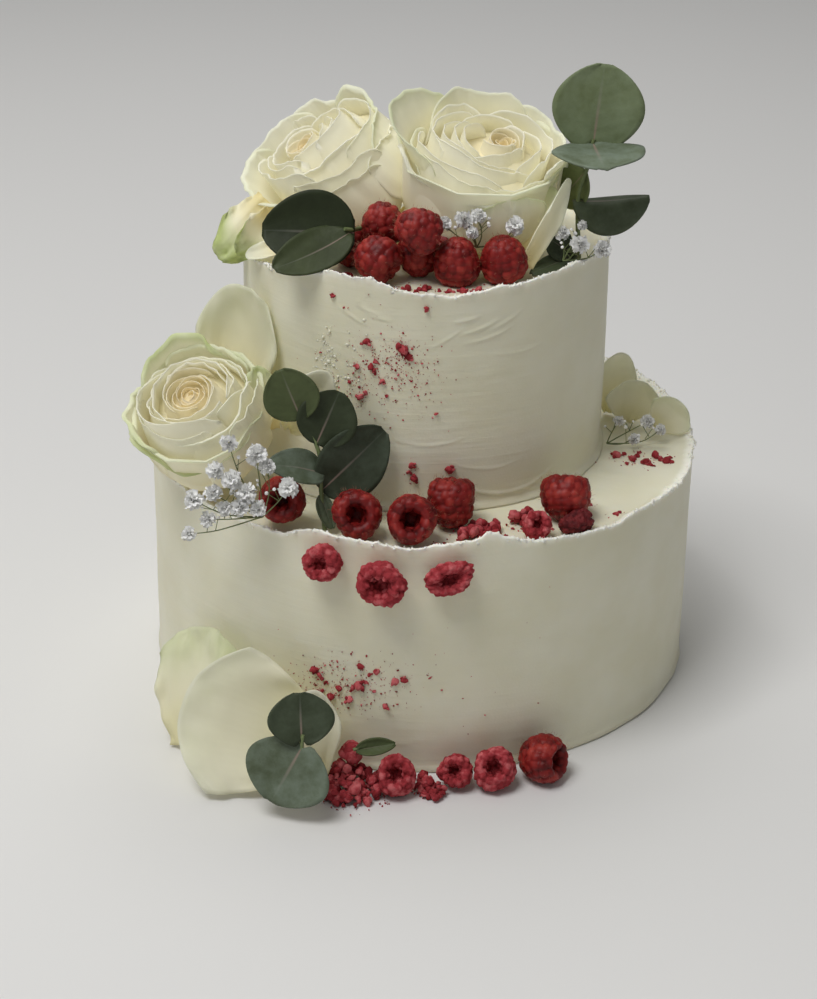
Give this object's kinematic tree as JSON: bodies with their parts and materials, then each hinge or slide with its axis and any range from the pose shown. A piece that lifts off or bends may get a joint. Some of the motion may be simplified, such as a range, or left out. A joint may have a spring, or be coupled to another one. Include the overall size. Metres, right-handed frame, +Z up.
{
  "type": "wedding cake",
  "caption": "Two-tier iced wedding cake dressed with white roses, rose petals, eucalyptus, gypsophila, raspberries and dried raspberry crumbs.",
  "frame": {"origin": "middle of the lower cake's underside, on the plane the cake rests on", "axes": "+Z up, -Y towards the dressed front that the camera sees, +X to the right of the front"},
  "size_m": [0.2437, 0.2795, 0.2756],
  "materials": {
    "icing": "satin buttercream, drawn smooth with a scraper",
    "rose_petal": "soft matt petals, cream white",
    "loose_petal": "soft matt petals, cream white",
    "eucalyptus_leaf": "waxy grey-green leaves with a pale bloom",
    "gypsophila": "matt white florets on green stems",
    "raspberry": "moist deep red drupelets",
    "dried_raspberry": "dry, dusty pinkish red"
  },
  "bodies": {
    "root": {"lower_tier": "icing", "upper_tier": "icing", "rose_top_right": "rose_petal", "rose_top_left": "rose_petal", "rose_middle": "rose_petal", "petal_ledge_back": "loose_petal", "petal_ledge_right": "loose_petal", "petal_foot_front": "loose_petal", "petal_foot_left": "loose_petal", "petal_foot_right": "loose_petal", "petal_rear_tall": "loose_petal", "petal_rear_wide": "loose_petal", "petal_rear_right": "loose_petal", "eucalyptus_top_right": "eucalyptus_leaf", "eucalyptus_top_low": "eucalyptus_leaf", "eucalyptus_top_left": "eucalyptus_leaf", "eucalyptus_middle": "eucalyptus_leaf", "eucalyptus_foot": "eucalyptus_leaf", "leaf_foot_small": "eucalyptus_leaf", "gypsophila_top": "gypsophila", "gypsophila_top_right": "gypsophila", "gypsophila_middle": "gypsophila", "gypsophila_rear": "gypsophila", "raspberry_top_1": "raspberry", "raspberry_top_2": "raspberry", "raspberry_top_3": "raspberry", "raspberry_top_4": "raspberry", "raspberry_top_5": "raspberry", "raspberry_top_6": "raspberry", "raspberry_top_7": "raspberry", "raspberry_top_8": "raspberry", "raspberry_ledge_1": "raspberry", "raspberry_ledge_2": "raspberry", "raspberry_ledge_3": "raspberry", "raspberry_ledge_4": "raspberry", "raspberry_ledge_5": "raspberry", "raspberry_foot_4": "raspberry", "raspberry_ledge_6": "dried_raspberry", "raspberry_ledge_7": "dried_raspberry", "raspberry_foot_1": "dried_raspberry", "raspberry_foot_2": "dried_raspberry", "raspberry_foot_3": "dried_raspberry", "raspberry_side_1": "dried_raspberry", "raspberry_side_2": "dried_raspberry", "raspberry_side_3": "dried_raspberry", "crumbs_ledge_left": "dried_raspberry", "crumbs_ledge_right": "dried_raspberry", "crumbs_foot": "dried_raspberry", "crumbs_foot_right": "dried_raspberry"}
  },
  "joints": []
}
